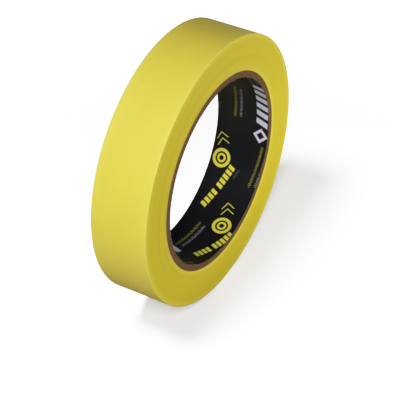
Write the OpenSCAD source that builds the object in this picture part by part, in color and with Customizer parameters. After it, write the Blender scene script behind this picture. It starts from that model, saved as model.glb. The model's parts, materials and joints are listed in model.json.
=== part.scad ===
// A roll of masking tape standing on its tread, with the end of the tape free to peel.
// The origin is the centre of the core bore at half the roll's width. +Y runs along the bore,
// -Y is the front face and +Z is up. Angles round the roll go from +X towards +Z.

/* [Roll] */
// Width of the tape
roll_width = 24; // [18:1:48]
// Outside diameter of the full roll
roll_diameter = 111; // [96:1:140]
// Thickness of one lap of tape, paper and adhesive together
tape_thickness = 0.08; // [0.08:0.01:0.2]

/* [Core] */
// Diameter of the bore through the core
bore_diameter = 76.2; // [70:0.1:80]
// Thickness of the printed liner that lines the bore
liner_thickness = 0.15; // [0.1:0.05:0.3]
// Thickness of one chipboard ply
ply_thickness = 0.48; // [0.4:0.02:0.6]
// Thickness of the smooth kraft ply that the tape starts on
outer_ply_thickness = 0.15; // [0.1:0.05:0.3]
// Depth of the core's ends below the faces of the wound tape
core_recess = 0.2; // [0:0.1:1]

/* [Free end] */
// Place of the peel line, where the free tape leaves the roll
peel_angle = -10; // [-30:1:0]
// Arc of the last lap that lifts off the roll
lead_arc = 40; // [24:1:45]
// Bare strip of the lap below that shows beyond the cut end of the tape
end_step = 0.4; // [0.2:0.1:1]

/* [Hidden] */
$fn = 180;

tape_colour = [0.89, 0.83, 0.30];
lead_colour = [0.93, 0.88, 0.42];
board_colour = [0.55, 0.45, 0.35];
kraft_colour = [0.62, 0.50, 0.37];
print_colour = [0.05, 0.06, 0.08];

bore_radius = bore_diameter / 2;
liner_radius = bore_radius + liner_thickness;
board_plies = 5;
board_radius = liner_radius + board_plies * ply_thickness;
core_radius = board_radius + outer_ply_thickness;
roll_radius = roll_diameter / 2;
wound_radius = roll_radius - tape_thickness;
core_width = roll_width - 2 * core_recess;

lead_segments = 12;
segment_arc = lead_arc / lead_segments;
end_step_arc = end_step / roll_radius * 180 / PI;
lap_arc = 360 - lead_arc - end_step_arc;

// The drawing plane's X and Y become the roll's X and Z, and its height runs along the roll's Y.
module along_roll_axis() {
    rotate([90, 0, 0]) children();
}

// A full turn of board, paper or wound tape between two radii.
module full_ring(inner_radius, outer_radius, width) {
    along_roll_axis()
        difference() {
            cylinder(h = width, r = outer_radius, center = true);
            cylinder(h = width + 2, r = inner_radius, center = true);
        }
}

// A stretch of the last lap of tape, which starts at an angle and runs towards +Z.
module lap_stretch(start_angle, arc) {
    along_roll_axis()
        rotate([0, 0, start_angle])
            rotate_extrude(angle = arc)
                translate([wound_radius, -roll_width / 2])
                    square([tape_thickness, roll_width]);
}

// The printed paper strip wound on the inside of the core.
module core_liner() {
    color(print_colour) full_ring(bore_radius, liner_radius, core_width);
}

// One chipboard ply of the core. Ply 1 is the innermost.
module core_ply(number) {
    inner_radius = liner_radius + (number - 1) * ply_thickness;
    color(board_colour) full_ring(inner_radius, inner_radius + ply_thickness, core_width);
}

// The thin kraft ply that closes the core, and that the first lap of tape sticks to.
module core_outer_ply() {
    color(kraft_colour) full_ring(board_radius, core_radius, core_width);
}

// All the laps of tape that stay on the roll.
module tape_windings() {
    color(tape_colour) full_ring(core_radius, wound_radius, roll_width);
}

// The part of the last lap that stays stuck down, from the peel line round to the cut end.
module outer_lap() {
    color(tape_colour) lap_stretch(peel_angle, lap_arc);
}

// One short stretch of the free end. Number 1 is at the peel line.
module lead(number) {
    color(lead_colour) lap_stretch(peel_angle - number * segment_arc, segment_arc);
}

core_liner();
core_ply(1);  // core_ply_1
core_ply(2);  // core_ply_2
core_ply(3);  // core_ply_3
core_ply(4);  // core_ply_4
core_ply(5);  // core_ply_5
core_outer_ply();
tape_windings();
outer_lap();
lead(1);  // lead_01
lead(2);  // lead_02
lead(3);  // lead_03
lead(4);  // lead_04
lead(5);  // lead_05
lead(6);  // lead_06
lead(7);  // lead_07
lead(8);  // lead_08
lead(9);  // lead_09
lead(10);  // lead_10
lead(11);  // lead_11
lead(12);  // lead_12
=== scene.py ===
"""Looks for a roll of masking tape that stands on its tread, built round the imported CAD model.

Lengths are in metres and angles in radians unless a name says otherwise. Angles round the roll go
from +X towards +Z, the core bore runs along Y, and the front face looks towards -Y.
"""

import json
import math

import bmesh
import bpy
import numpy as np
from mathutils import Matrix, Vector
from mathutils.geometry import delaunay_2d_cdt

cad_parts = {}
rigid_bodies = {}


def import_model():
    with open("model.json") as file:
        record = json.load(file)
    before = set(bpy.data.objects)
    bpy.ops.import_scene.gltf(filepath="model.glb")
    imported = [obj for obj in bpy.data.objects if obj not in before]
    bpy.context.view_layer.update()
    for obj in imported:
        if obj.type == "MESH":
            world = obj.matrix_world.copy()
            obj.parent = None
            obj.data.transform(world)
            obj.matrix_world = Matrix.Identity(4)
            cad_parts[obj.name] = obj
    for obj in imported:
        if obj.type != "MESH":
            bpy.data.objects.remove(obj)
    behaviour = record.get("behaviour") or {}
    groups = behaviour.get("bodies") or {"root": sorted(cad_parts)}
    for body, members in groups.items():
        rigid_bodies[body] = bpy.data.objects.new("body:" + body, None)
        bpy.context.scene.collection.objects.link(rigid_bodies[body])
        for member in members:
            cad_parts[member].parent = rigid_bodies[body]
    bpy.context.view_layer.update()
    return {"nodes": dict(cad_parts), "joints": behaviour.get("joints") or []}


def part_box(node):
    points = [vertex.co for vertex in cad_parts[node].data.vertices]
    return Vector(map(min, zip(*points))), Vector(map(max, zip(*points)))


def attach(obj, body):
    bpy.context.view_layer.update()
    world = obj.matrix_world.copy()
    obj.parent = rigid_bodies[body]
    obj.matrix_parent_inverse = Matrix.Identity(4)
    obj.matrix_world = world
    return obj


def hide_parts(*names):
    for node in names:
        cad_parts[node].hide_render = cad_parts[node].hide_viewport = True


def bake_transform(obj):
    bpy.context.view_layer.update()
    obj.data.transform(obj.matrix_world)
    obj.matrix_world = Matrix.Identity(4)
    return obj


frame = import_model()

MM = 0.001
FULL_TURN = 2 * math.pi
MERGE_DISTANCE = 1e-7
random = np.random.default_rng(20)


# ---------------------------------------------------------------------------------------------
# Sizes, all worked out from the frame
# ---------------------------------------------------------------------------------------------

def ring_radii(node):
    """Smallest and largest distance of a CAD node's corners from the roll's axis."""
    distances = [math.hypot(v.co.x, v.co.z) for v in frame["nodes"][node].data.vertices]
    return min(distances), max(distances)


def joint_angle(joint):
    """Where a hinge of the free end lies round the roll."""
    x, _, z = joint["pos_m"]
    return math.atan2(z, x)


bore_radius, liner_radius = ring_radii("core_liner")
core_radius, wound_radius = ring_radii("tape_windings")
roll_radius = ring_radii("outer_lap")[1]
tape_thickness = roll_radius - wound_radius
half_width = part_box("tape_windings")[1].y
core_half_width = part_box("core_liner")[1].y

hinge_angles = [joint_angle(j) for j in frame["joints"]]
lead_bodies = [j["child"] for j in frame["joints"]]
roll_body = frame["joints"][0]["parent"]
segment_arc = hinge_angles[0] - hinge_angles[1]
end_angle = hinge_angles[-1] - segment_arc
lead_arc = hinge_angles[0] - end_angle

# The tread rounds into the faces, and the strips end a little inside the roll's full width.
rim_rounding = 0.30 * MM
edge_margin = 0.13 * MM
# Arc between the last lap's start and the cut end above it, where the spiral steps down.
step_arc = math.radians(0.02)


# ---------------------------------------------------------------------------------------------
# Mesh helpers
# ---------------------------------------------------------------------------------------------

def on_roll(radius, angle, y):
    """Points at a distance from the axis, an angle round the roll and a place along it."""
    radius, angle, y = np.broadcast_arrays(radius, angle, y)
    return np.stack([radius * np.cos(angle), y, radius * np.sin(angle)], axis=-1)


def make_piece(name, points, faces, materials, face_materials=None, smooth_degrees=35):
    """A mesh object from arrays, with outward normals and edges kept sharp above an angle."""
    mesh = bpy.data.meshes.new(name)
    mesh.from_pydata([tuple(p) for p in points], [], [tuple(f) for f in faces])
    for material in materials:
        mesh.materials.append(material)
    if face_materials is not None:
        mesh.polygons.foreach_set("material_index", np.asarray(face_materials, np.int32))
    shape = bmesh.new()
    shape.from_mesh(mesh)
    bmesh.ops.remove_doubles(shape, verts=shape.verts, dist=MERGE_DISTANCE)
    bmesh.ops.recalc_face_normals(shape, faces=shape.faces)
    shape.to_mesh(mesh)
    shape.free()
    mesh.polygons.foreach_set("use_smooth", np.ones(len(mesh.polygons), bool))
    mesh.set_sharp_from_angle(angle=math.radians(smooth_degrees))
    piece = bpy.data.objects.new(name, mesh)
    bpy.context.scene.collection.objects.link(piece)
    return piece


def block_shell(counts, place):
    """The closed skin of a block of cells. place() turns shares of its three ways into points.

    Returns the points, the quads, and for each quad its side: 0 and 1 at the ends of the first
    way, 2 and 3 at the ends of the second, 4 and 5 at the ends of the third.
    """
    quads, sides = [], []
    for axis in range(3):
        first, second = [way for way in range(3) if way != axis]
        i, j = np.meshgrid(np.arange(counts[first]), np.arange(counts[second]), indexing="ij")
        for side, end in enumerate((0, counts[axis])):
            quad = np.zeros(i.shape + (4, 3), int)
            for corner, (di, dj) in enumerate(((0, 0), (1, 0), (1, 1), (0, 1))):
                quad[..., corner, first] = i + di
                quad[..., corner, second] = j + dj
                quad[..., corner, axis] = end
            quads.append(quad.reshape(-1, 4, 3))
            sides.append(np.full(i.size, 2 * axis + side))
    corners = np.concatenate(quads).reshape(-1, 3)
    lattice, index = np.unique(corners, axis=0, return_inverse=True)
    shares = lattice / np.asarray(counts, float)
    points = place(shares[:, 0], shares[:, 1], shares[:, 2])
    return points, index.reshape(-1, 4), np.concatenate(sides)


def smooth_noise(count, reach, amplitude):
    """Random values along a line that change over about reach steps."""
    margin = 3 * reach
    white = random.normal(size=count + 2 * margin)
    kernel = np.hanning(2 * reach + 1)
    kernel /= np.sqrt((kernel ** 2).sum())
    return amplitude * np.convolve(white, kernel, mode="same")[margin:margin + count]


# ---------------------------------------------------------------------------------------------
# Shader helpers
# ---------------------------------------------------------------------------------------------

def new_material(name):
    material = bpy.data.materials.new(name)
    material.use_nodes = True
    material.node_tree.nodes.clear()
    return material, material.node_tree


def add_node(tree, kind, inputs=None, **settings):
    """A shader node. Inputs are values or the output sockets that feed them."""
    node = tree.nodes.new(kind)
    for key, value in settings.items():
        setattr(node, key, value)
    for key, value in (inputs or {}).items():
        if isinstance(value, bpy.types.NodeSocket):
            tree.links.new(value, node.inputs[key])
        else:
            node.inputs[key].default_value = value
    return node


def math_node(tree, operation, a, b=0.0):
    return add_node(tree, "ShaderNodeMath", {0: a, 1: b}, operation=operation).outputs[0]


def mixed_colour(tree, share, a, b):
    """Colour a where the share is 0, and colour b where it is 1."""
    return add_node(tree, "ShaderNodeMix", {0: share, 6: a, 7: b}, data_type="RGBA").outputs[2]


def map_range(tree, value, low, high, to_low, to_high):
    node = add_node(tree, "ShaderNodeMapRange", {0: value, 1: low, 2: high, 3: to_low, 4: to_high})
    return node.outputs[0]


def noise(tree, vector, scale, detail, roughness):
    inputs = {"Vector": vector, "Scale": scale, "Detail": detail, "Roughness": roughness}
    return add_node(tree, "ShaderNodeTexNoise", inputs).outputs[0]


def stretched(tree, vector, scale):
    """A coordinate with each of its three parts multiplied."""
    inputs = {0: vector, 1: scale}
    return add_node(tree, "ShaderNodeVectorMath", inputs, operation="MULTIPLY").outputs[0]


def bump(tree, height, distance, strength=1.0, normal=None):
    inputs = {"Height": height, "Distance": distance, "Strength": strength}
    if normal is not None:
        inputs["Normal"] = normal
    return add_node(tree, "ShaderNodeBump", inputs).outputs[0]


def finish_material(tree, shader):
    add_node(tree, "ShaderNodeOutputMaterial", {"Surface": shader})


def finish_surface(tree, inputs):
    """Ends a material in one plain surface."""
    finish_material(tree, add_node(tree, "ShaderNodeBsdfPrincipled", inputs).outputs[0])


def grey(value):
    return (value, value, value, 1.0)


# ---------------------------------------------------------------------------------------------
# Materials
# ---------------------------------------------------------------------------------------------

def tape_paper():
    """Outer side of the tape: thin, smooth, dyed paper with a soft sheen and faint fibres."""
    material, tree = new_material("tape_paper")
    place = add_node(tree, "ShaderNodeAttribute", attribute_name="tape_mm").outputs["Vector"]
    clouds = noise(tree, stretched(tree, place, (0.06, 0.12, 0.12)), 1.0, 4.0, 0.55)
    fibres = noise(tree, stretched(tree, place, (1.1, 4.5, 1.0)), 1.0, 5.0, 0.7)
    crossing = noise(tree, stretched(tree, place, (3.2, 0.9, 1.0)), 1.0, 4.0, 0.65)
    colour = mixed_colour(tree, map_range(tree, clouds, 0.3, 0.7, 0.0, 1.0),
                          (0.835, 0.700, 0.080, 1), (0.860, 0.728, 0.092, 1))
    colour = mixed_colour(tree, map_range(tree, fibres, 0.55, 0.75, 0.0, 0.25),
                          colour, (0.88, 0.80, 0.19, 1))
    colour = mixed_colour(tree, map_range(tree, crossing, 0.3, 0.5, 0.10, 0.0),
                          colour, (0.62, 0.50, 0.03, 1))
    along, sideways, _ = add_node(tree, "ShaderNodeSeparateXYZ", {0: place}).outputs
    across = math_node(tree, "ABSOLUTE", sideways)
    rim = half_width / MM
    colour = mixed_colour(tree, map_range(tree, across, 0.65 * rim, rim, 0.0, 0.35),
                          colour, (0.88, 0.79, 0.16, 1))
    # Painted shade: the bare tape darkens just before the cut end, which is one full turn along, as if
    # shaded by the cut edge.
    lap_length = FULL_TURN * roll_radius / MM
    painted_shade_from, painted_shade_to = lap_length - 0.9, lap_length - 0.2
    colour = mixed_colour(tree, map_range(tree, along, painted_shade_from, painted_shade_to, 0.0, 0.6),
                          colour, (0.40, 0.29, 0.02, 1))
    relief = math_node(tree, "ADD", fibres, crossing)
    finish_surface(tree, {
        "Base Color": colour, "Roughness": map_range(tree, fibres, 0.3, 0.7, 0.54, 0.62),
        "Specular IOR Level": 0.95, "Normal": bump(tree, relief, 0.012 * MM, 0.8)})
    return material


def tape_edges():
    """Cut edges of the wound laps: deeper yellow, in fine rings."""
    material, tree = new_material("tape_edges")
    place = add_node(tree, "ShaderNodeTexCoord").outputs["Object"]
    flat = stretched(tree, place, (1.0, 0.0, 1.0))
    radius = add_node(tree, "ShaderNodeVectorMath", {0: flat}, operation="LENGTH").outputs["Value"]
    ring = add_node(tree, "ShaderNodeCombineXYZ", {0: radius}).outputs[0]
    fine_rings, broad_rings, dust_specks = 2600.0, 420.0, 2600.0
    wander = stretched(tree, place, (9.0, 9.0, 9.0))
    ring_place = add_node(tree, "ShaderNodeVectorMath",
                          {0: stretched(tree, ring, (fine_rings, 0, 0)), 1: wander},
                          operation="ADD").outputs[0]
    fine = noise(tree, ring_place, 1.0, 4.0, 0.75)
    broad = noise(tree, stretched(tree, ring, (broad_rings, 0, 0)), 1.0, 2.0, 0.5)
    dust = noise(tree, place, dust_specks, 3.0, 0.6)
    colour = mixed_colour(tree, map_range(tree, fine, 0.35, 0.65, 0.0, 1.0),
                          (0.725, 0.612, 0.042, 1), (0.772, 0.657, 0.054, 1))
    colour = mixed_colour(tree, map_range(tree, broad, 0.35, 0.65, 0.0, 0.25),
                          colour, (0.78, 0.68, 0.050, 1))
    colour = mixed_colour(tree, map_range(tree, dust, 0.58, 0.75, 0.0, 0.3),
                          colour, (0.82, 0.74, 0.12, 1))
    # Painted highlight: the face turns paler over the last laps by the rim and over the laps beside the
    # core.
    rim_highlight_share = map_range(tree, radius, roll_radius - 2.6 * MM, roll_radius, 0.0, 0.75)
    core_highlight_share = map_range(tree, radius, core_radius + 2.2 * MM, core_radius + 0.6 * MM, 0.0, 0.5)
    colour = mixed_colour(tree, math_node(tree, "MAXIMUM", rim_highlight_share, core_highlight_share),
                          colour, (0.86, 0.77, 0.135, 1))
    finish_surface(tree, {
        "Base Color": colour, "Roughness": 0.6, "Specular IOR Level": 0.12,
        "Normal": bump(tree, fine, 0.02 * MM, 0.6)})
    return material


def tape_adhesive():
    """Inner side of the tape: clear, slightly rippled adhesive over the yellow paper."""
    material, tree = new_material("tape_adhesive")
    place = add_node(tree, "ShaderNodeAttribute", attribute_name="tape_mm").outputs["Vector"]
    ripple = noise(tree, stretched(tree, place, (0.5, 1.6, 1.0)), 1.0, 3.0, 0.5)
    grain = noise(tree, place, 5.0, 2.0, 0.5)
    colour = mixed_colour(tree, ripple, (0.70, 0.56, 0.05, 1), (0.80, 0.68, 0.11, 1))
    normal = bump(tree, grain, 0.006 * MM, 0.7)
    normal = bump(tree, ripple, 0.03 * MM, 0.5, normal)
    finish_surface(tree, {
        "Base Color": colour, "Roughness": map_range(tree, grain, 0.3, 0.7, 0.22, 0.36),
        "Specular IOR Level": 0.5, "Coat Weight": 0.25, "Coat Roughness": 0.2, "Normal": normal})
    return material


def core_board(name, dark, light, scale):
    """Cut or bare chipboard: matte, fibrous and specked. Scale is its fibres per metre."""
    material, tree = new_material(name)
    place = add_node(tree, "ShaderNodeTexCoord").outputs["Object"]
    pulp = noise(tree, place, scale, 5.0, 0.7)
    patches = noise(tree, place, scale * 0.12, 3.0, 0.5)
    cells = {"Vector": place, "Scale": scale * 0.9}
    specks = add_node(tree, "ShaderNodeTexVoronoi", cells).outputs["Distance"]
    colour = mixed_colour(tree, map_range(tree, pulp, 0.3, 0.7, 0.0, 1.0), dark, light)
    colour = mixed_colour(tree, map_range(tree, patches, 0.35, 0.65, 0.0, 0.3), colour, dark)
    colour = mixed_colour(tree, map_range(tree, specks, 0.0, 0.16, 0.5, 0.0),
                          colour, (0.07, 0.045, 0.03, 1))
    finish_surface(tree, {
        "Base Color": colour, "Roughness": 0.9, "Specular IOR Level": 0.15,
        "Normal": bump(tree, pulp, 0.06 * MM, 0.8)})
    return material


def printed_paper(name, colour, tone, roughness):
    """Ink on the liner's smooth paper. Tone is the darker shade that the ink breaks into."""
    material, tree = new_material(name)
    place = add_node(tree, "ShaderNodeTexCoord").outputs["Object"]
    grain = noise(tree, place, 2200.0, 3.0, 0.6)
    clouds = noise(tree, place, 90.0, 3.0, 0.5)
    shade = mixed_colour(tree, map_range(tree, grain, 0.3, 0.5, 0.45, 0.0), colour, tone)
    shade = mixed_colour(tree, map_range(tree, clouds, 0.35, 0.7, 0.0, 0.25), shade, tone)
    spread = 0.06
    finish_surface(tree, {
        "Base Color": shade,
        "Roughness": map_range(tree, grain, 0.3, 0.7, roughness - spread, roughness + spread),
        "Specular IOR Level": 0.3, "Normal": bump(tree, grain, 0.008 * MM, 0.6)})
    return material


PAPER = tape_paper()
EDGES = tape_edges()
ADHESIVE = tape_adhesive()
BOARDS = [
    core_board("core_board_warm", (0.158, 0.085, 0.038, 1), (0.280, 0.166, 0.078, 1), 1500.0),
    core_board("core_board_grey", (0.143, 0.081, 0.040, 1), (0.255, 0.153, 0.080, 1), 1900.0),
]
KRAFT = core_board("core_kraft", (0.205, 0.110, 0.043, 1), (0.342, 0.200, 0.088, 1), 2600.0)
INK_BLACK = printed_paper("liner_black", (0.0060, 0.0058, 0.0078, 1), (0.011, 0.010, 0.014, 1), 0.42)
INK_YELLOW = printed_paper("liner_yellow", (0.72, 0.66, 0.085, 1), (0.50, 0.44, 0.05, 1), 0.40)
INK_WHITE = printed_paper("liner_white", (0.66, 0.66, 0.80, 1), (0.42, 0.42, 0.55, 1), 0.40)
INK_FAINT = printed_paper("liner_faint", (0.20, 0.20, 0.17, 1), (0.08, 0.08, 0.07, 1), 0.40)
RAW_PAPER = printed_paper("liner_raw_paper", (0.60, 0.57, 0.60, 1), (0.16, 0.13, 0.13, 1), 0.80)
CUT_EDGE = printed_paper("liner_cut_edge", (0.062, 0.046, 0.036, 1), (0.030, 0.023, 0.020, 1), 0.80)


# ---------------------------------------------------------------------------------------------
# The wound tape
# ---------------------------------------------------------------------------------------------

OUTER_SIDE, INNER_SIDE, CUT_SIDE = 0, 1, 2
NOTCH_DEGREES = -21.5


def lap_radius(back):
    """Outer radius of the last lap at an angle back from the cut end, along its spiral."""
    return roll_radius - tape_thickness * np.asarray(back) / FULL_TURN


def rim_drop(y):
    """How far the tread falls away where it rounds into a face."""
    past = np.maximum(np.abs(y) - (half_width - rim_rounding), 0.0)
    return rim_rounding - np.sqrt(np.maximum(rim_rounding ** 2 - past ** 2, 0.0))


def sunk_laps(radius):
    """How far the laps nearest the core, and the last ones, have sunk below the face."""
    inner_reach, inner_depth = 2.2 * MM, 0.22 * MM
    outer_reach, outer_depth = 2.2 * MM, 0.13 * MM
    inner = np.clip(1 - (radius - core_radius) / inner_reach, 0, 1)
    outer = np.clip(1 - (roll_radius - radius) / outer_reach, 0, 1)
    return inner_depth * inner ** 2 + outer_depth * outer ** 2


def start_notch(radius, angle):
    """The small hollow where the first lap begins on the core."""
    arc = math.radians(0.35)
    notch_height, depth = 0.8 * MM, 0.7 * MM
    across = np.exp(-((angle - math.radians(NOTCH_DEGREES)) / arc) ** 2)
    return depth * across * np.clip(1 - (radius - core_radius) / notch_height, 0, 1)


def face_relief(radii, angles):
    """Depth of each lap's edge below the face: every lap sits a little in or out of line."""
    laps = len(radii)
    lap_depth = smooth_noise(laps, 14, 0.010 * MM) + smooth_noise(laps, 1, 0.003 * MM)
    lap_depth = lap_depth[None, :] * np.ones((len(angles), 1))
    wave_depths = {1: 0.014 * MM, 2: 0.009 * MM, 3: 0.005 * MM}
    for turns, size in wave_depths.items():
        phase = random.uniform(0, FULL_TURN) + smooth_noise(laps, 40, 0.9)
        lap_depth += size * np.sin(turns * angles[:, None] + phase[None, :])
    depth = lap_depth - lap_depth.min()
    level_rim = 1.0 * MM
    fade = np.clip((radii[-1] - radii) / level_rim, 0, 1)[None, :]
    return depth * fade + sunk_laps(radii)[None, :] + start_notch(radii[None, :], angles[:, None])


def build_windings():
    """All the laps that stay on the roll, as one closed ring with a stepped spiral tread."""
    columns_round, rows_across, rows_inside = 241, 23, 6
    even = np.linspace(step_arc, FULL_TURN - step_arc, columns_round)
    reach, spacing = 1.5, 0.1
    notch = np.radians(np.arange(NOTCH_DEGREES - reach, NOTCH_DEGREES + reach, spacing)) - end_angle
    back = np.unique(np.concatenate([even, notch, [0.0]]))
    angles = end_angle + back
    top = lap_radius(back) - tape_thickness

    across = (half_width - edge_margin) * np.sin(np.linspace(-math.pi / 2, math.pi / 2, rows_across))
    laps = int((wound_radius - rim_rounding - core_radius) / tape_thickness)
    radii = core_radius + tape_thickness * np.arange(laps)
    columns = np.ones((len(back), 1))
    tread_radius = top[:, None] - rim_drop(across)[None, :]
    tread_y = across[None, :] * columns
    front_y = -half_width + face_relief(radii, angles)
    back_y = half_width - face_relief(radii, angles)
    wall = np.linspace(0, 1, rows_inside)[1:-1][None, :]
    wall_y = back_y[:, :1] * (1 - wall) + front_y[:, :1] * wall

    face_radius = radii[None, :] * columns
    wall_radius = core_radius * np.ones_like(wall_y)
    radius = np.concatenate([tread_radius, face_radius[:, ::-1], wall_radius, face_radius], axis=1)
    y = np.concatenate([tread_y, back_y[:, ::-1], wall_y, front_y], axis=1)
    points = on_roll(radius, angles[:, None], y)

    rows, loop = radius.shape
    i, j = np.meshgrid(np.arange(rows), np.arange(loop), indexing="ij")
    next_i, next_j = (i + 1) % rows, (j + 1) % loop
    quads = np.stack([i * loop + j, next_i * loop + j, next_i * loop + next_j, i * loop + next_j], axis=-1)
    tread, face = 0, 1
    kinds = np.where(j < len(across) - 1, tread, face)
    piece = make_piece("wound_laps", points.reshape(-1, 3), quads.reshape(-1, 4), [PAPER, EDGES],
                       kinds.ravel(), smooth_degrees=60)
    place_on_tape(piece)
    return piece


def place_on_tape(piece):
    """Stores each corner's place on the tape, in mm, so that the paper's fibres follow the strip."""
    mesh = piece.data
    corners = np.empty(len(mesh.vertices) * 3)
    mesh.vertices.foreach_get("co", corners)
    x, y, z = corners.reshape(-1, 3).T
    radius = np.hypot(x, z)
    # Keeps a corner that lies right at the cut end from wrapping round to a full turn.
    slack = 1e-5
    along = np.mod(np.arctan2(z, x) - end_angle + slack, FULL_TURN) * roll_radius
    place = np.stack([along, y, radius], axis=-1) / MM
    attribute = mesh.attributes.new("tape_mm", "FLOAT_VECTOR", "POINT")
    attribute.data.foreach_set("vector", place.astype(np.float32).ravel())


def build_strip(name, back_from, back_to, columns, end_wander=0.0, end_lift=0.0):
    """A stretch of the last lap between two angles back from the cut end.

    The cut itself wanders a little across the tape, and its edge stands slightly off the roll.
    """
    half = half_width - edge_margin
    samples = 64
    ragged = smooth_noise(samples, 2, 1.0)

    def place(u, v, w):
        y = half * np.sin((v - 0.5) * math.pi)
        back = back_from + u * (back_to - back_from)
        back = back + end_wander * np.abs(np.interp(v, np.linspace(0, 1, samples), ragged)) * (u == 0)
        radius = lap_radius(back) - rim_drop(y) - tape_thickness * (1 - w) + end_lift * (1 - u) ** 2
        return on_roll(radius, end_angle + back, y)

    points, quads, sides = block_shell((columns, 24, 1), place)
    kinds = np.array([CUT_SIDE] * 4 + [INNER_SIDE, OUTER_SIDE])[sides]
    piece = make_piece(name, points, quads, [PAPER, ADHESIVE, EDGES], kinds)
    place_on_tape(piece)
    return piece


def middle_of_lap(back):
    """A point on the tape's outer side, half way across the roll."""
    return tuple(on_roll(lap_radius(back), end_angle + back, 0.0))


windings = build_windings()
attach(windings, roll_body)
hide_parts("tape_windings")

stuck_lap = build_strip("last_lap", lead_arc, FULL_TURN - step_arc, 320)
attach(stuck_lap, roll_body)
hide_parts("outer_lap")

# The free end is cut at the middle of each segment, so that every piece spans one hinge.
half_segment = segment_arc / 2
peel_strip = build_strip("lead_peel_bend", lead_arc - half_segment, lead_arc, 16)
middle_of_lap(lead_arc)
middle_of_lap(lead_arc - half_segment)
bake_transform(peel_strip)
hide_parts(lead_bodies[0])
for number in range(1, len(lead_bodies)):
    centre = lead_arc - number * segment_arc
    bend = build_strip(f"lead_bend_{number + 1:02d}", centre - half_segment, centre + half_segment, 10)
    middle_of_lap(centre + half_segment)
    middle_of_lap(centre - half_segment)
    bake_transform(bend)
    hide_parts(lead_bodies[number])
tip = build_strip("lead_tip", 0.0, half_segment, 12,
                  end_wander=math.radians(0.10), end_lift=0.10 * MM)
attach(tip, lead_bodies[-1])


# ---------------------------------------------------------------------------------------------
# The core
# ---------------------------------------------------------------------------------------------

WINDING_SLOPE = math.radians(24.4)
GOLDEN_ANGLE = math.radians(137.5)


def build_ply(name, node, seam_angle, material):
    """One ply of the core: a strip wound in a helix, with a narrow butt seam between its edges."""
    inner, outer = ring_radii(node)
    seam_gap = 0.3 * MM / outer
    edge_round = 0.035 * MM
    columns, rows, layers = 360, 24, 6
    fibre = random.normal(size=(columns + 1, layers + 1)) * 0.014 * MM

    def place(u, v, w):
        y = (2 * v - 1) * core_half_width
        angle = seam_angle + y / math.tan(WINDING_SLOPE) / outer + seam_gap / 2 + u * (FULL_TURN - seam_gap)
        at_end = (v == 0) | (v == 1)
        rough = fibre[np.round(u * columns).astype(int), np.round(w * layers).astype(int)] * at_end
        rounded = edge_round * np.abs(2 * w - 1) ** 3 * at_end
        y = y - np.sign(y) * (np.abs(rough) + rounded)
        return on_roll(inner + w * (outer - inner), angle, y)

    points, quads, _ = block_shell((columns, rows, layers), place)
    ply = make_piece(name, points, quads, [material])
    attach(ply, roll_body)
    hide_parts(node)
    return ply


core_board_nodes = sorted(n for n in frame["nodes"] if n.startswith("core_ply"))
for number, node in enumerate(core_board_nodes):
    seam_angle = math.radians(35) + GOLDEN_ANGLE * number
    ply = build_ply(f"board_ply_{number + 1}", node, seam_angle, BOARDS[number % 2])
outer_ply = build_ply("kraft_ply", "core_outer_ply", math.radians(215), KRAFT)


# ---------------------------------------------------------------------------------------------
# The liner's print. Outlines are in mm, along the bore's circumference and along its axis.
# ---------------------------------------------------------------------------------------------

# Each ink or paper's place in the liner's list of materials.
BLACK, YELLOW, WHITE, FAINT, SEAM, OUTSIDE, RIM = range(7)
LINER_MATERIALS = [INK_BLACK, INK_YELLOW, INK_WHITE, INK_FAINT, RAW_PAPER, KRAFT, CUT_EDGE]


def bar(length, height, lean=0.0):
    """A flat bar that starts at the origin, with its top shifted along by lean."""
    return [(0, 0), (length, 0), (length + lean, height), (lean, height)]


def disc(radius, corners=32):
    turns = [FULL_TURN * k / corners for k in range(corners)]
    return [(radius * math.cos(t), radius * math.sin(t)) for t in turns]


def moved(outline, along, up, turn=0.0):
    c, s = math.cos(turn), math.sin(turn)
    return [(along + x * c - y * s, up + x * s + y * c) for x, y in outline]


def bar_row(lengths, gap, height, lean=0.0):
    """Bars of several lengths in a row, ending at the origin."""
    start = -sum(lengths) - gap * (len(lengths) - 1)
    row = []
    for length in lengths:
        row.append(moved(bar(length, height, lean), start, 0))
        start += length + gap
    return row


def tick_row(count, pitch, height):
    """Thin ticks in a row, ending at the origin, with every third one shorter."""
    row = []
    for k in range(count):
        tall = height if k % 3 else 0.7 * height
        row.append(moved(bar(0.20 * pitch, tall), (k - count) * pitch, 0))
    return row


def chevron(size, line):
    """A thin arrow head that points up."""
    outer, inner = size, size - line * 1.6
    return [(-outer, 0), (-inner, 0), (0, inner), (inner, 0), (outer, 0), (0, outer)]


def roll_mark():
    """Generic pictogram of a roll with arrow heads, over two groups of plain blocks."""
    marks = [(o, YELLOW) for o in bar_row([1.6] * 5, 0.6, 3.1, 0.4)]
    marks += [(moved(o, -12.2, 0), YELLOW) for o in bar_row([1.6] * 4, 0.6, 3.1, 0.4)]
    marks += [(moved(o, 0.8, -2.2), FAINT) for o in tick_row(8, 0.55, 1.3)]
    across, up = 0.4, 7.9
    for radius, ink in ((4.1, YELLOW), (2.7, BLACK), (2.0, YELLOW), (1.0, BLACK)):
        marks.append((moved(disc(radius), across, up), ink))
    for lift in (0.0, 2.6):
        head = moved(chevron(2.9, 0.36), across + 5.4 + lift * 0.8, up + 2.2 + lift * 0.6,
                     math.radians(-50))
        marks.append((head, YELLOW))
    return marks


def small_lines():
    """Two rows of fine ticks, one in each ink."""
    marks = [(moved(o, 9.0, 0), YELLOW) for o in tick_row(26, 0.69, 1.25)]
    return marks + [(moved(o, 8.2, -2.6), WHITE) for o in tick_row(22, 0.74, 1.2)]


def stripe_band():
    """A row of leaning stripes that starts with a hollow diamond."""
    marks = [(moved(disc(3.4, 4), -12.6, 2.6), WHITE), (moved(disc(1.8, 4), -12.6, 2.6), BLACK)]
    return marks + [(moved(o, 15.0, 0), WHITE) for o in bar_row([2.7] * 6, 1.5, 5.2, 1.7)]


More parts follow.
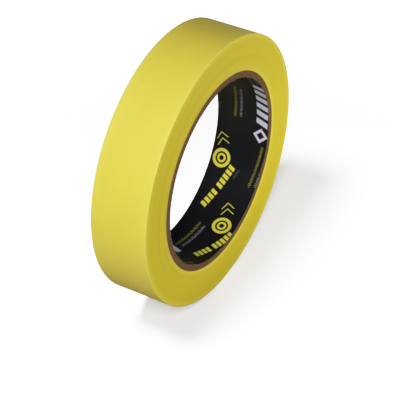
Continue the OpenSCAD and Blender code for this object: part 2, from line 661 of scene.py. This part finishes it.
def print_layout():
    """Every mark of the print with its ink, over more than the whole liner."""
    half_way = math.pi * bore_radius / MM
    row_shift = (27.7, 12.55)
    first = (-27.5, -0.6)
    far_from_liner = 25
    marks = (
        (roll_mark(), (0.0, 0.0), math.radians(-17)),
        (small_lines(), (31.3, 3.1), math.radians(-4.5)),
        (stripe_band(), (57.2, 1.4), math.radians(-3)),
        (small_lines(), (84.2, 4.0), math.radians(-4.5)),
    )
    layout = []
    for row in range(-2, 3):
        for repeat in range(-4, 5):
            for outlines, (along, up), turn in marks:
                x = first[0] + along + row * row_shift[0] + repeat * half_way
                y = first[1] + up + row * row_shift[1]
                if abs(y) < far_from_liner:
                    layout += [(moved(o, x, y, turn), ink) for o, ink in outlines]
    return layout


def build_liner():
    """The printed liner. Its inner side is cut along the outline of every mark."""
    around = FULL_TURN * bore_radius / MM
    half = core_half_width / MM
    cut_line = math.radians(95) * bore_radius / MM - around
    slope = math.tan(WINDING_SLOPE)
    seam_width = 0.22
    seam_at = math.radians(75) * bore_radius / MM
    past_edge = 15
    run = past_edge / slope
    seam = [(seam_at - run, -past_edge), (seam_at - run + seam_width, -past_edge),
            (seam_at + run + seam_width, past_edge), (seam_at + run, past_edge)]

    corners, lines, outlines, inks = [], [], [], []
    columns = 120
    for step in range(columns + 1):
        x = cut_line + around * step / columns
        lines.append((len(corners), len(corners) + 1))
        corners += [(x, -half), (x, half)]
    for y in (-half, 0.0, half):
        lines.append((len(corners), len(corners) + 1))
        corners += [(cut_line, y), (cut_line + around, y)]
    shapes = print_layout() + [([(x + k * around, y) for x, y in seam], SEAM) for k in (-1, 0)]
    for outline, ink in shapes:
        xs, ys = [p[0] for p in outline], [p[1] for p in outline]
        if max(xs) < cut_line or min(xs) > cut_line + around or max(ys) < -half or min(ys) > half:
            continue
        outlines.append(list(range(len(corners), len(corners) + len(outline))))
        corners += outline
        inks.append(ink)
    closeness = 1e-5
    found, _, faces, _, _, owners = delaunay_2d_cdt(
        [Vector(c) for c in corners], lines, outlines, 0, closeness)

    flat = np.array([tuple(p) for p in found])
    kept, kinds = [], []
    for face, owner in zip(faces, owners):
        x, y = flat[list(face)].mean(axis=0)
        if cut_line < x < cut_line + around and abs(y) < half:
            kept.append(face)
            kinds.append(inks[max(owner)] if owner else BLACK)

    used = np.unique(np.concatenate([np.array(f) for f in kept]))
    renumber = {old: new for new, old in enumerate(used)}
    kept = [tuple(renumber[v] for v in f) for f in kept]
    flat = flat[used]
    # The last column lies on the first one, so that the tube closes.
    near = 0.001
    turns = np.where(flat[:, 0] > cut_line + around - near, cut_line, flat[:, 0])
    angles = turns * MM / bore_radius
    y = flat[:, 1] * MM
    count = len(flat)
    points = np.concatenate([on_roll(bore_radius, angles, y), on_roll(liner_radius, angles, y)])
    sides = dict.fromkeys((a, b) for face in kept for a, b in zip(face, face[1:] + face[:1]))
    at_rim = np.abs(np.abs(flat[:, 1]) - half) < near
    rims = [(a, b) for a, b in sides if (b, a) not in sides and at_rim[a] and at_rim[b]]
    all_faces = kept + [tuple(v + count for v in f[::-1]) for f in kept]
    all_faces += [(a, b, b + count, a + count) for a, b in rims]
    kinds = kinds + [OUTSIDE] * len(kept) + [RIM] * len(rims)
    return make_piece("printed_liner", points, all_faces, LINER_MATERIALS, kinds)


def build_fray(name, side, count):
    """Torn paper fibres along one cut edge of the liner, as small closed slivers."""
    points, faces = [], []
    clump_count, clump_spread = 26, 0.16
    shortest, longest = (0.10, 0.04, 0.02), (0.55, 0.13, 0.16)
    clumps = random.uniform(0, FULL_TURN, clump_count)
    for _ in range(count):
        angle = random.choice(clumps) + random.normal() * clump_spread
        length, width, rise = random.uniform(shortest, longest) * MM
        lean = random.normal() * 0.5
        radius = bore_radius + random.uniform(-0.02, 0.12) * MM
        y = side * (core_half_width - random.uniform(0.0, 0.10) * MM)
        foot = Vector(on_roll(radius, angle, y))
        inward = Vector((-math.cos(angle), 0, -math.sin(angle)))
        around = Vector((-math.sin(angle), 0, math.cos(angle)))
        outward = Vector((0, side, 0))
        ridge = foot + inward * rise + around * length * lean + outward * length * 0.5
        first = len(points)
        points += [foot - around * width, foot + around * width, foot - inward * width * 0.6, ridge]
        faces += [(first, first + 1, first + 3), (first + 1, first + 2, first + 3),
                  (first + 2, first, first + 3), (first, first + 2, first + 1)]
    fray = make_piece(name, points, faces, [RAW_PAPER])
    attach(fray, roll_body)
    return fray


liner = build_liner()
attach(liner, roll_body)
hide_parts("core_liner")
FRAYED_FIBRES = 420
build_fray("liner_fray_front", -1, FRAYED_FIBRES)
build_fray("liner_fray_back", 1, FRAYED_FIBRES)


# ---------------------------------------------------------------------------------------------
# Floor, light and camera
# ---------------------------------------------------------------------------------------------

WHITE_GLOW = 2.2


def build_floor():
    """A plain pale floor that the roll stands on. It fades to white away from the roll."""
    material, tree = new_material("floor")
    place = add_node(tree, "ShaderNodeTexCoord").outputs["Object"]
    away = add_node(tree, "ShaderNodeVectorMath", {0: place}, operation="LENGTH").outputs["Value"]
    seen = add_node(tree, "ShaderNodeLightPath").outputs["Is Camera Ray"]
    near, far = 0.12, 0.45
    # Seen from the camera the floor glows: weakly near the roll, where lamplight and cast shadows show on
    # it, and strongly further out, which makes it white.
    glow = map_range(tree, away, near, far, 0.34, WHITE_GLOW)
    shade = mixed_colour(tree, seen, (0.172, 0.166, 0.116, 1), grey(0.60))
    surface = add_node(tree, "ShaderNodeBsdfDiffuse", {"Color": shade}).outputs[0]
    light = add_node(tree, "ShaderNodeEmission",
                     {"Color": grey(1.0), "Strength": math_node(tree, "MULTIPLY", glow, seen)}).outputs[0]
    finish_material(tree, add_node(tree, "ShaderNodeAddShader", {0: surface, 1: light}).outputs[0])
    reach = 6.0
    mesh = bpy.data.meshes.new("floor")
    mesh.from_pydata([(-reach, -reach, 0), (reach, -reach, 0), (reach, reach, 0), (-reach, reach, 0)],
                     [], [(0, 1, 2, 3)])
    mesh.materials.append(material)
    floor = bpy.data.objects.new("floor", mesh)
    floor.location = (0, 0, -roll_radius)
    bpy.context.scene.collection.objects.link(floor)
    return floor


def build_world(ambient):
    """White behind the roll, and a weaker even light on it."""
    world = bpy.data.worlds.new("world")
    world.use_nodes = True
    tree = world.node_tree
    tree.nodes.clear()
    seen = add_node(tree, "ShaderNodeLightPath").outputs["Is Camera Ray"]
    strength = map_range(tree, seen, 0.0, 1.0, ambient, WHITE_GLOW)
    background = add_node(tree, "ShaderNodeBackground", {"Color": grey(1.0), "Strength": strength})
    add_node(tree, "ShaderNodeOutputWorld", {"Surface": background.outputs[0]})
    bpy.context.scene.world = world


def direction(azimuth_degrees, elevation_degrees):
    """Unit vector from the roll towards a viewer or a light. Azimuth 0 is towards -Y."""
    azimuth, elevation = math.radians(azimuth_degrees), math.radians(elevation_degrees)
    return Vector((math.sin(azimuth) * math.cos(elevation), -math.cos(azimuth) * math.cos(elevation),
                   math.sin(elevation)))


def add_soft_light(name, azimuth_degrees, elevation_degrees, distance, size, watts, colour=(1, 1, 1)):
    """A round lamp that looks at the roll and that the camera doesn't see."""
    light = bpy.data.lights.new(name, "AREA")
    light.shape = "DISK"
    light.size = size
    light.energy = watts
    light.color = colour
    lamp = bpy.data.objects.new(name, light)
    towards = direction(azimuth_degrees, elevation_degrees)
    lamp.location = towards * distance
    lamp.rotation_mode = "QUATERNION"
    lamp.rotation_quaternion = (-towards).to_track_quat("-Z", "Y")
    lamp.visible_camera = False
    bpy.context.scene.collection.objects.link(lamp)
    return lamp


def light_only(lamp, target):
    """Limits a lamp to one object. The others still cast their shadows in it."""
    lit = bpy.data.collections.new(lamp.name + "_lit")
    lit.objects.link(target)
    lamp.light_linking.receiver_collection = lit


CAMERA_AZIMUTH, CAMERA_ELEVATION, CAMERA_ROLL = -56.69, 42.04, -4.16
CAMERA_DISTANCE = 589.6 * MM
CAMERA_LENS_MM = 135.6
AIM_RIGHT, AIM_DOWN = 1.79 * MM, 14.51 * MM


def build_camera():
    """The viewing angle of the reference: from the upper left of the front face."""
    back = direction(CAMERA_AZIMUTH, CAMERA_ELEVATION)
    turn = (-back).to_track_quat("-Z", "Y").to_matrix() @ Matrix.Rotation(math.radians(CAMERA_ROLL), 3, "Z")
    right, up = turn.col[0], turn.col[1]
    camera = bpy.data.objects.new("camera", bpy.data.cameras.new("camera"))
    camera.data.lens = CAMERA_LENS_MM
    camera.data.sensor_width = 36.0
    camera.data.clip_start = 0.01
    camera.data.clip_end = 20.0
    camera.rotation_mode = "QUATERNION"
    camera.rotation_quaternion = turn.to_quaternion()
    camera.location = back * CAMERA_DISTANCE + right * AIM_RIGHT - up * AIM_DOWN
    bpy.context.scene.collection.objects.link(camera)
    bpy.context.scene.camera = camera


def soften_highlights():
    """Tone of the picture: plain colours, with bright parts rolling off softly towards white."""
    view = bpy.context.scene.view_settings
    view.view_transform = "Standard"
    view.use_curve_mapping = True
    mapping = view.curve_mapping
    mapping.clip_max_x = 2.0
    curve = mapping.curves[3]
    curve.points[1].location = (1.6, 1.0)
    shoulder = {0.25: 0.235, 0.65: 0.66, 0.92: 0.84}
    for scene_light, shown in shoulder.items():
        curve.points.new(scene_light, shown)
    mapping.update()


floor = build_floor()
build_world(ambient=0.02)
# Each lamp: its azimuth and elevation, distance, width, watts and colour.
add_soft_light("key", -57, 46, 1.1, 0.36, 11.8)
add_soft_light("fill_right", 40, -14, 0.16, 0.05, 0.070, (1.0, 0.90, 0.66))
add_soft_light("fill_side", 96, -7, 0.30, 0.07, 0.22)
add_soft_light("fill_back", 176, -1, 1.1, 0.5, 4.4)
floor_light = add_soft_light("floor_light", -118, 70, 1.0, 0.26, 17.0)
light_only(floor_light, floor)
build_camera()
soften_highlights()
